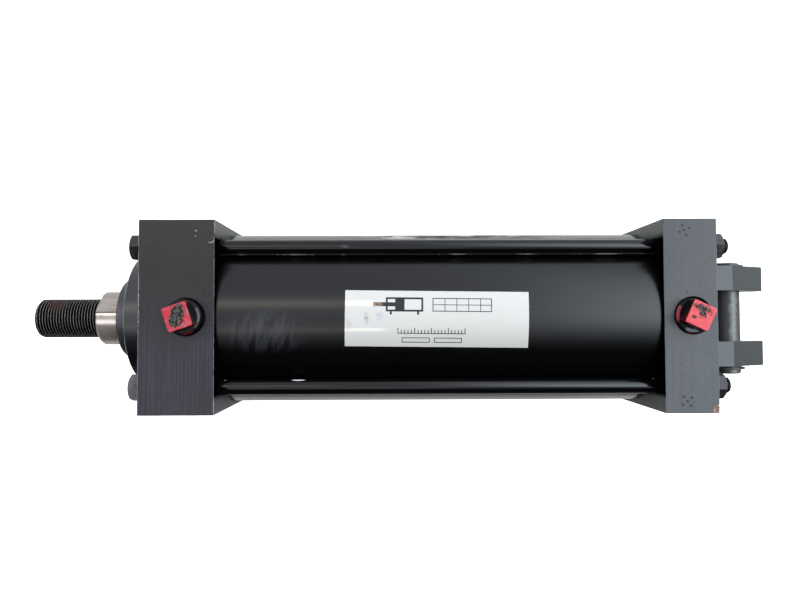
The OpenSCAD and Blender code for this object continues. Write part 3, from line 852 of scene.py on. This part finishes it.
def make_plug(end, cover, top):
    """Port plug with a threaded body and a square head, built along +X and then stood up."""
    low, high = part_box(f"port_plug_{end}")
    height = high.z - low.z
    body = height - PLUG_HEAD_H
    soft = 0.35 * MM
    bm = bmesh.new()
    angles = even_angles(96)
    add_thread(bm, 0, body - 1.4 * MM, PLUG_BODY_R, ROD_PITCH, angles, ROD_PITCH)
    bottom = add_rings(bm, [steady(0, thread_end_r(PLUG_BODY_R, ROD_PITCH)), steady(0, 5 * MM)], angles)
    skin(bm, bottom)
    close_ring(bm, bottom[-1])
    rows = [
        steady(body - 1.4 * MM, PLUG_BODY_R), steady(body - 1.1 * MM, PLUG_BODY_R - 0.1 * MM),
        steady(body - 0.3 * MM, PLUG_BODY_R - 0.8 * MM), steady(body - 0.1 * MM, PLUG_BODY_R - 1.1 * MM),
        steady(body, PLUG_BODY_R - 1.5 * MM), square_row(body, 0.6 * MM, PLUG_CORNER_R),
        square_row(body + 0.8 * MM, 0, PLUG_CORNER_R),
        square_row(height - 0.8 * MM, 0, PLUG_CORNER_R),
    ]
    sides = add_rings(bm, rows, angles)
    skin(bm, sides)
    rounded = []
    for i in range(5):
        turn = i * math.pi / 8
        inset = soft * (1 - math.cos(turn))
        rise = height - soft + soft * math.sin(turn)
        rounded.append(square_row(rise, inset, PLUG_CORNER_R - 0.05 * MM))
    crown = [square_row(height, soft + part * MM, PLUG_CORNER_R) for part in (1, 3, 5)]
    edge = add_rings(bm, [rows[-1]] + rounded[:3], angles)
    skin(bm, edge)
    lid = add_rings(bm, rounded[2:] + crown, angles)
    skin(bm, lid, material=1)
    close_ring(bm, lid[-1], 1)
    bmesh.ops.rotate(bm, verts=bm.verts, cent=(0, 0, 0), matrix=Matrix.Rotation(-math.pi / 2, 3, "Y"))
    obj = finish_mesh(f"port_plug_{end}_square", bm, [cover, top], 40)
    middle = (low + high) / 2
    obj.location = (middle.x, middle.y, low.z)
    obj.rotation_euler = (0, 0, math.radians(PLUG_TURNS[end]))
    return obj


class LabelSheet:
    """Maps label coordinates, from its left edge and its middle line, onto the tube."""

    def __init__(self):
        low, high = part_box("label")
        self.centre = (low + high) / 2

    def point(self, u, v, lift):
        along = u - LABEL_LEN / 2
        x = self.centre.x + along * math.cos(LABEL_TURN) - v * math.sin(LABEL_TURN)
        y = self.centre.y + along * math.sin(LABEL_TURN) + v * math.cos(LABEL_TURN)
        r = TUBE_R + lift
        return (x, y, math.sqrt(r * r - y * y))

    def grid(self, bm, u0, v0, u1, v1, lift, material=0):
        """A rectangle cut into cells so that it follows the tube. Returns its vertices."""
        columns = max(1, math.ceil((u1 - u0) / (6 * MM)))
        rows = max(1, math.ceil((v1 - v0) / (1.1 * MM)))
        verts = []
        for i in range(columns + 1):
            u = u0 + (u1 - u0) * i / columns
            verts.append([
                bm.verts.new(self.point(u, v0 + (v1 - v0) * j / rows, lift)) for j in range(rows + 1)
            ])
        for i in range(columns):
            for j in range(rows):
                corners = (verts[i][j], verts[i + 1][j], verts[i + 1][j + 1], verts[i][j + 1])
                bm.faces.new(corners).material_index = material
        return verts

    def frame(self, bm, u0, v0, u1, v1, line, lift):
        """The outline of a rectangle, drawn with a line of the given width."""
        self.grid(bm, u0, v0, u1, v0 + line, lift)
        self.grid(bm, u0, v1 - line, u1, v1, lift)
        self.grid(bm, u0, v0 + line, u0 + line, v1 - line, lift)
        self.grid(bm, u1 - line, v0 + line, u1, v1 - line, lift)


def make_label(film):
    """White film with real thickness, bent on the tube."""
    sheet = LabelSheet()
    bm = bmesh.new()
    half = LABEL_W / 2
    layers = [sheet.grid(bm, 0, -half, LABEL_LEN, half, lift)
              for lift in (LABEL_LIFT, LABEL_LIFT + LABEL_T)]
    rims = []
    for verts in layers:
        rim = [column[0] for column in verts]
        rim += verts[-1][1:]
        rim += [column[-1] for column in reversed(verts[:-1])]
        rim += reversed(verts[0][1:-1])
        rims.append(rim)
    for i, vert in enumerate(rims[0]):
        after = (i + 1) % len(rims[0])
        bm.faces.new((vert, rims[0][after], rims[1][after], rims[1][i]))
    return finish_mesh("label_sheet", bm, [film], 50)


def make_print(ink):
    """Generic print: a cylinder symbol, an empty data box, a plain scale and blank fields."""
    sheet = LabelSheet()
    bm = bmesh.new()
    lift = LABEL_LIFT + LABEL_T + INK_LIFT
    line = 1.1 * MM

    def bar(u0, v0, u1, v1):
        sheet.grid(bm, u0 * MM, v0 * MM, u1 * MM, v1 * MM, lift)

    # Cylinder symbol: barrel, piston, rod, port stubs
    sheet.frame(bm, 24 * MM, 4.2 * MM, 46 * MM, 12.6 * MM, line, lift)
    bar(29.5, 5.3, 35, 11.5)
    bar(16.6, 7.2, 24, 9.6)
    bar(25.1, 7.2, 29.5, 9.6)
    bar(26.4, 2.4, 27.6, 4.2)
    bar(42.4, 2.4, 43.6, 4.2)
    # Empty data table
    sheet.frame(bm, 51.5 * MM, 4.4 * MM, 86.5 * MM, 12.4 * MM, 0.5 * MM, lift)
    columns = (52, 59, 66, 73, 80, 86)
    for left, right in zip(columns, columns[1:]):
        bar(left, 8.2, right, 8.6)
        if right < 86:
            bar(right - 0.4, 4.9, right, 8.2)
            bar(right - 0.4, 8.6, right, 11.9)
    # Plain scale
    bar(31, -8.8, 71, -8.3)
    for i in range(21):
        tall = 3 if i % 5 == 0 else 1.8
        u = 31 + i * 1.975
        bar(u, -8.3, u + 0.5, -8.3 + tall)
    # Blank fields
    for u0, u1 in ((33.5, 50), (52.5, 69)):
        sheet.frame(bm, u0 * MM, -14 * MM, u1 * MM, -11 * MM, 0.45 * MM, lift)
    return finish_mesh("label_print", bm, [ink], 50)


# ---- The object ----


def paint_node(name, material):
    obj = nodes[name]
    if not obj.material_slots:
        obj.data.materials.append(material)
    for slot in obj.material_slots:
        slot.material = material


def front_rim(name):
    """The x and the radius of a round node's front rim."""
    low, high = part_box(name)
    return low.x, (high.y - low.y) / 2


def dress_cad_nodes():
    """Gives every CAD node that stays its own finish."""
    bolt = turned_black("screw_oxide", (0.018, 0.018, 0.019), 0.34, 0.3)
    nut = nut_paint("nut_steel", (0.014, 0.013, 0.014), (0.034, 0.032, 0.035))
    seal = rubber("seal_rubber", (0.02, 0.02, 0.02))
    ring = nut_paint("ring_steel", (0.02, 0.02, 0.02), (0.05, 0.05, 0.05))
    iron = cast_iron("piston_iron", (0.12, 0.12, 0.125))
    looks = {
        "head": block_paint("head_paint", (0.0005, 0.0005, 0.0004), (0.0052, 0.0052, 0.005),
                            (0.0135, 0.0135, 0.021), (0.34, 0.34, 0.35), 0.36, 0.5,
                            (HEAD_IN - 0.3 * MM, HEAD_IN - 0.1 * MM), 0.0, head_marks),
        "cap": block_paint("cap_paint", (0.025, 0.0265, 0.0275), (0.043, 0.0465, 0.049),
                           (0.0485, 0.0525, 0.0555), (0.18, 0.19, 0.195), 0.38, 0.34,
                           (CAP_IN + 0.3 * MM, CAP_IN + 0.1 * MM), 0.15, cap_marks),
        "tube": gloss_black("tube_paint", (0.0004, 0.0004, 0.0006), 0.24, 0.48, tube_marks),
        "retainer_plate": turned_black("retainer_paint", (0.0035, 0.0033, 0.0065), 0.3,
                                       rim=((0.22, 0.23, 0.24), *front_rim("retainer_plate"))),
        "rod_bearing": turned_black("bearing_iron", (0.036, 0.036, 0.045), 0.34, 0.25),
        "rod_wiper": rubber("wiper_rubber", (0.022, 0.022, 0.023)),
        "rod_seal": rubber("rod_seal_urethane", (0.14, 0.04, 0.02)),
        "piston": iron,
        "piston_nut": bolt,
        "wear_ring": rubber("wear_band", (0.2, 0.15, 0.07)),
        "clevis_pin": worn_pin_with_highlight(),
        "pin_ring_1": ring,
        "pin_ring_2": ring,
    }
    for name in ("bearing_o_ring", "tube_seal_head", "tube_seal_cap", "piston_o_ring",
                 "piston_seal_front", "piston_seal_rear"):
        looks[name] = seal
    for i in range(1, 5):
        looks[f"head_nut_{i}"] = nut
        looks[f"cap_nut_{i}"] = nut
        looks[f"retainer_screw_{i}"] = bolt
    # Lit copies of the nut paint: one cap nut and one head nut lighter for the light they catch
    looks["cap_nut_1"] = nut_paint("nut_steel_lit_grey", (0.028, 0.026, 0.028), (0.06, 0.056, 0.06))
    looks["head_nut_3"] = nut_paint("nut_steel_lit_pale", (0.08, 0.08, 0.085), (0.14, 0.14, 0.15))
    for name, material in looks.items():
        paint_node(name, material)
    for name in looks:
        mesh = nodes[name].data
        for polygon in mesh.polygons:
            polygon.use_smooth = True


def add_pieces():
    """Makes the pieces that replace plain CAD nodes."""
    rod = make_rod()
    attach(rod, "rod")
    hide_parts("piston_rod")
    shanks = [gloss_black(f"tie_rod_paint_{i + 1}", (0.002, 0.002, 0.0024), 0.13, 0.38, marks)
              for i, marks in enumerate((tie_rod_highlight_line, None, bare_streak, None))]
    thread = thread_oxide("tie_rod_thread", (0.012, 0.012, 0.013), (0.03, 0.026, 0.024), TIE_R)
    for i in range(1, 5):
        tie = make_tie_rod(i, shanks[i - 1], thread)
        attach(tie, "barrel")
        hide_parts(f"tie_rod_{i}")
    tops = {
        "head": plug_top("plug_top_head", (0.46, 0.014, 0.03), (0.44, 0.12, 0.15), [
            ((-0.2 * MM, 0.2 * MM), (4.4 * MM, 6.6 * MM), math.radians(36)),
            ((2.2 * MM, 1.8 * MM), (3.2 * MM, 3.8 * MM), 0.0),
        ]),
        # Lit copy: the cap plug's red is lighter than the head plug's, for the light it catches
        "cap": plug_top("plug_top_cap_lit", (0.66, 0.035, 0.045), (0.72, 0.085, 0.095), [
            ((-0.3 * MM, 3.8 * MM), (5.4 * MM, 2.5 * MM), 0.0),
            ((0.8 * MM, 1.4 * MM), (2.2 * MM, 2.8 * MM), 0.0),
            ((-3.4 * MM, -2.6 * MM), (1.3 * MM, 0.9 * MM), 0.0),
        ]),
    }
    # Grey arcs are painted reflections, the pink arc red plastic with a painted highlight
    covers = {
        "head": plug_cover("plug_cover_head", 20 * MM, [
            ((0.085, 0.085, 0.085), -4 - PLUG_TURNS["head"], 30, 8.4 * MM, 10.0 * MM),
            ((0.12, 0.008, 0.014), -74 - PLUG_TURNS["head"], 12, 9.4 * MM, 10.8 * MM),
        ]),
        "cap": plug_cover("plug_cover_cap", 14.5 * MM, [
            ((0.36, 0.05, 0.065), 172 - PLUG_TURNS["cap"], 22, 8.2 * MM, 10.2 * MM),
            ((0.24, 0.26, 0.27), -92 - PLUG_TURNS["cap"], 22, 7.8 * MM, 9.9 * MM),
            ((0.25, 0.03, 0.08), -80 - PLUG_TURNS["cap"], 26, 9.9 * MM, 10.8 * MM),
        ]),
    }
    for end, top in tops.items():
        plug = make_plug(end, covers[end], top)
        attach(plug, f"{end}_plug")
        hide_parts(f"port_plug_{end}")
    label = make_label(label_film())
    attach(label, "barrel")
    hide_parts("label")
    printed = make_print(label_ink())
    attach(printed, "barrel")


# ---- Camera, floor and light ----


def add_camera():
    """Camera above the cylinder, tilted by about two degrees, looking down on its ports."""
    camera = bpy.data.cameras.new("camera")
    camera.lens = CAMERA_LENS
    camera.sensor_width = 36
    camera.clip_start = 0.01
    camera.clip_end = 100
    obj = bpy.data.objects.new("camera", camera)
    obj.location = CAMERA_PLACE
    obj.rotation_euler = tuple(math.radians(a) for a in CAMERA_TURN)
    bpy.context.scene.collection.objects.link(obj)
    bpy.context.scene.camera = obj


def add_floor():
    """White floor that takes light and shade, dark toward -Y from y -0.1 m on as painted shade,
    and pure white to the camera.
    """
    bm = bmesh.new()
    corners = [bm.verts.new((x * FLOOR_REACH, y * FLOOR_REACH, -HALF_BLOCK))
               for x, y in ((-1, -1), (1, -1), (1, 1), (-1, 1))]
    bm.faces.new(corners)
    p = Paint("floor_white", Roughness=0.9, Specular_IOR_Level=0.0)
    y = p.axes(p.place())[1]
    # Painted shade: the floor turns dark from y -0.1 to -0.17 m on toward -Y
    p.colour(p.mix(p.step(y, -0.1, -0.17), (0.86, 0.835, 0.78), (0.05, 0.05, 0.05)))
    p.shader.inputs["Emission Color"].default_value = (1, 1, 1, 1)
    seen = p.add("LightPath").outputs["Is Camera Ray"]
    p.plug_in(p.times(seen, PURE_WHITE), p.shader.inputs["Emission Strength"])
    floor = finish_mesh("floor", bm, [p.material])


def add_room_light():
    """Soft light from above, from +Y and strongest toward +X; pale where the camera sees it."""
    world = bpy.data.worlds.new("room")
    bpy.context.scene.world = world
    world.use_nodes = True
    tree = world.node_tree
    tree.nodes.clear()
    p = NodeMaker(tree)
    x, y, z = p.axes(p.add("TexCoord").outputs["Generated"])
    across = p.math("DEGREES", p.math("ARCTAN2", y, z))
    along = p.math("DEGREES", p.math("ARCTAN2", x, z))
    bright = p.step(across, -46, -2)
    window = p.times(p.step(along, 8, 30), p.step(along, 95, 45))
    window = p.times(window, p.scale(p.step(across, -5, 78), 1.0, 0.06), 4.6)
    window = p.times(window, p.step(across, -40, 4))
    strength = p.math("ADD", p.times(bright, p.math("ADD", window, 1.0)), 0.01)
    tint = p.mix(p.step(along, 0, 30), (1.0, 1.015, 1.12), (0.89, 1.0, 1.08))
    lit = p.add("Background")
    p.plug_in(tint, lit.inputs["Color"])
    p.plug_in(strength, lit.inputs["Strength"])
    seen = p.add("Background")
    seen.inputs["Color"].default_value = (1, 1, 1, 1)
    seen.inputs["Strength"].default_value = PURE_WHITE
    pick = p.add("MixShader")
    p.plug_in(p.add("LightPath").outputs["Is Camera Ray"], pick.inputs["Fac"])
    p.plug_in(lit.outputs[0], pick.inputs[1])
    p.plug_in(seen.outputs[0], pick.inputs[2])
    out = p.add("OutputWorld")
    p.plug_in(pick.outputs[0], out.inputs["Surface"])


def add_lamp(name, y, end_x, width, power):
    """Long soft ceiling lamp along X, hidden from the camera."""
    light = bpy.data.lights.new(name, "AREA")
    light.shape = "RECTANGLE"
    light.size = LAMP_LEN
    light.size_y = width
    light.energy = power
    light.color = LAMP_COLOUR
    obj = bpy.data.objects.new(name, light)
    obj.location = (end_x - LAMP_LEN / 2, y, LAMP_HEIGHT)
    obj.visible_camera = False
    bpy.context.scene.collection.objects.link(obj)


dress_cad_nodes()
add_pieces()
add_camera()
add_floor()
add_room_light()
add_lamp("lamp_back", 0.52, -0.28, 0.2, 3.0)
add_lamp("lamp_front", -0.47, -0.25, 0.12, 1.5)
bpy.context.scene.view_settings.view_transform = "Standard"
bpy.context.view_layer.update()
